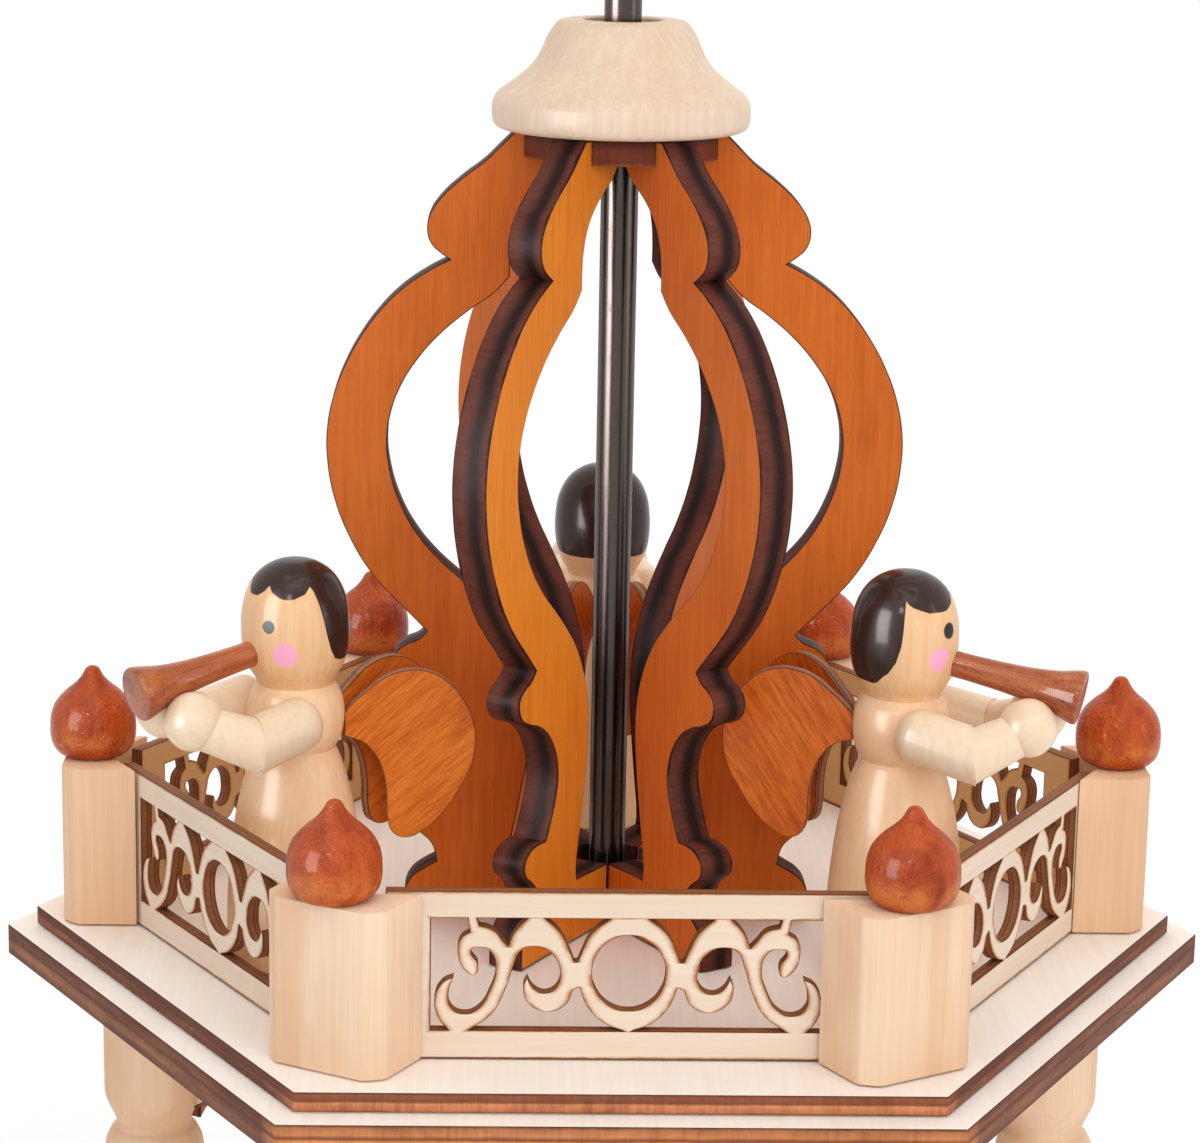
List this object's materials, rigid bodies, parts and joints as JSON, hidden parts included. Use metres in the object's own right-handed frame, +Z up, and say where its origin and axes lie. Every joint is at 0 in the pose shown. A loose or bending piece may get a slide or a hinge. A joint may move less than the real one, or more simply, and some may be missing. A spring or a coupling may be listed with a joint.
{
  "type": "christmas pyramid",
  "caption": "Wooden Christmas candle pyramid: hexagonal deck with fretwork gallery, trumpeting angels, ogee-rib dome and a fan rotor turned by candle heat.",
  "frame": {"origin": "centre of the underside of the base", "axes": "+Z up along the shaft; -Y towards the viewer, square to one side of the hexagon; +X to the viewer's right"},
  "size_m": [0.3, 0.2598, 0.3573],
  "materials": {
    "pale_limewood": "smooth turned and planed limewood, clear satin",
    "birch_plywood": "sanded birch plywood, clear satin",
    "laser_cut_panel": "thin birch plywood with scorched cut edges",
    "orange_brown_stained_ply": "orange-brown stain with fine vertical grain, scorched edges",
    "scorched_ply": "near-black scorched and stained",
    "red_brown_glossy_stain": "red-brown glossy stain",
    "stained_wing_ply": "orange-brown stained thin plywood",
    "lacquered_limewood": "clear lacquered limewood, painted hair and face",
    "bright_steel_rod": "bright drawn rod",
    "brass": "turned brass"
  },
  "bodies": {
    "stand": {"angel_back": "lacquered_limewood", "angel_left": "lacquered_limewood", "angel_right": "lacquered_limewood", "base": "birch_plywood", "bearing_cup": "brass", "candle_cup_1": "pale_limewood", "candle_cup_2": "pale_limewood", "candle_cup_3": "pale_limewood", "column_1": "pale_limewood", "column_2": "pale_limewood", "column_3": "pale_limewood", "column_4": "pale_limewood", "column_5": "pale_limewood", "column_6": "pale_limewood", "deck_lower": "birch_plywood", "deck_upper": "birch_plywood", "dome_cap": "pale_limewood", "dome_rib_1": "orange_brown_stained_ply", "dome_rib_2": "orange_brown_stained_ply", "dome_rib_3": "orange_brown_stained_ply", "dome_rib_4": "orange_brown_stained_ply", "dome_rib_5": "orange_brown_stained_ply", "dome_rib_6": "orange_brown_stained_ply", "finial_1": "red_brown_glossy_stain", "finial_2": "red_brown_glossy_stain", "finial_3": "red_brown_glossy_stain", "finial_4": "red_brown_glossy_stain", "finial_5": "red_brown_glossy_stain", "finial_6": "red_brown_glossy_stain", "gallery_post_1": "pale_limewood", "gallery_post_2": "pale_limewood", "gallery_post_3": "pale_limewood", "gallery_post_4": "pale_limewood", "gallery_post_5": "pale_limewood", "gallery_post_6": "pale_limewood", "railing_panel_1": "laser_cut_panel", "railing_panel_2": "laser_cut_panel", "railing_panel_3": "laser_cut_panel", "railing_panel_4": "laser_cut_panel", "railing_panel_5": "laser_cut_panel", "railing_panel_6": "laser_cut_panel", "rib_collar": "scorched_ply", "valance_ring": "laser_cut_panel", "wing_back_left": "stained_wing_ply", "wing_back_right": "stained_wing_ply", "wing_left_left": "stained_wing_ply", "wing_left_right": "stained_wing_ply", "wing_right_left": "stained_wing_ply", "wing_right_right": "stained_wing_ply"},
    "rotor": {"shaft": "bright_steel_rod", "rotor_hub": "pale_limewood", "turntable": "birch_plywood"},
    "blade_1_body": {"blade_1": "birch_plywood"},
    "blade_2_body": {"blade_2": "birch_plywood"},
    "blade_3_body": {"blade_3": "birch_plywood"},
    "blade_4_body": {"blade_4": "birch_plywood"},
    "blade_5_body": {"blade_5": "birch_plywood"},
    "blade_6_body": {"blade_6": "birch_plywood"},
    "blade_7_body": {"blade_7": "birch_plywood"},
    "blade_8_body": {"blade_8": "birch_plywood"}
  },
  "joints": [
    {"name": "rotor_spin", "type": "hinge", "parent": "stand", "child": "rotor", "pos_m": [0, 0, 0.0142], "axis": [0, 0, 1], "continuous": true},
    {"name": "blade_pitch_1", "type": "hinge", "parent": "rotor", "child": "blade_1_body", "pos_m": [0.015, 0, 0.3425], "axis": [1, 0, 0], "range_deg": [-40, 50]},
    {"name": "blade_pitch_2", "type": "hinge", "parent": "rotor", "child": "blade_2_body", "pos_m": [0.01061, 0.01061, 0.3425], "axis": [0.7071, 0.7071, 0], "range_deg": [-40, 50]},
    {"name": "blade_pitch_3", "type": "hinge", "parent": "rotor", "child": "blade_3_body", "pos_m": [0, 0.015, 0.3425], "axis": [0, 1, 0], "range_deg": [-40, 50]},
    {"name": "blade_pitch_4", "type": "hinge", "parent": "rotor", "child": "blade_4_body", "pos_m": [-0.01061, 0.01061, 0.3425], "axis": [-0.7071, 0.7071, 0], "range_deg": [-40, 50]},
    {"name": "blade_pitch_5", "type": "hinge", "parent": "rotor", "child": "blade_5_body", "pos_m": [-0.015, 0, 0.3425], "axis": [-1, 0, 0], "range_deg": [-40, 50]},
    {"name": "blade_pitch_6", "type": "hinge", "parent": "rotor", "child": "blade_6_body", "pos_m": [-0.01061, -0.01061, 0.3425], "axis": [-0.7071, -0.7071, 0], "range_deg": [-40, 50]},
    {"name": "blade_pitch_7", "type": "hinge", "parent": "rotor", "child": "blade_7_body", "pos_m": [0, -0.015, 0.3425], "axis": [0, -1, 0], "range_deg": [-40, 50]},
    {"name": "blade_pitch_8", "type": "hinge", "parent": "rotor", "child": "blade_8_body", "pos_m": [0.01061, -0.01061, 0.3425], "axis": [0.7071, -0.7071, 0], "range_deg": [-40, 50]}
  ]
}
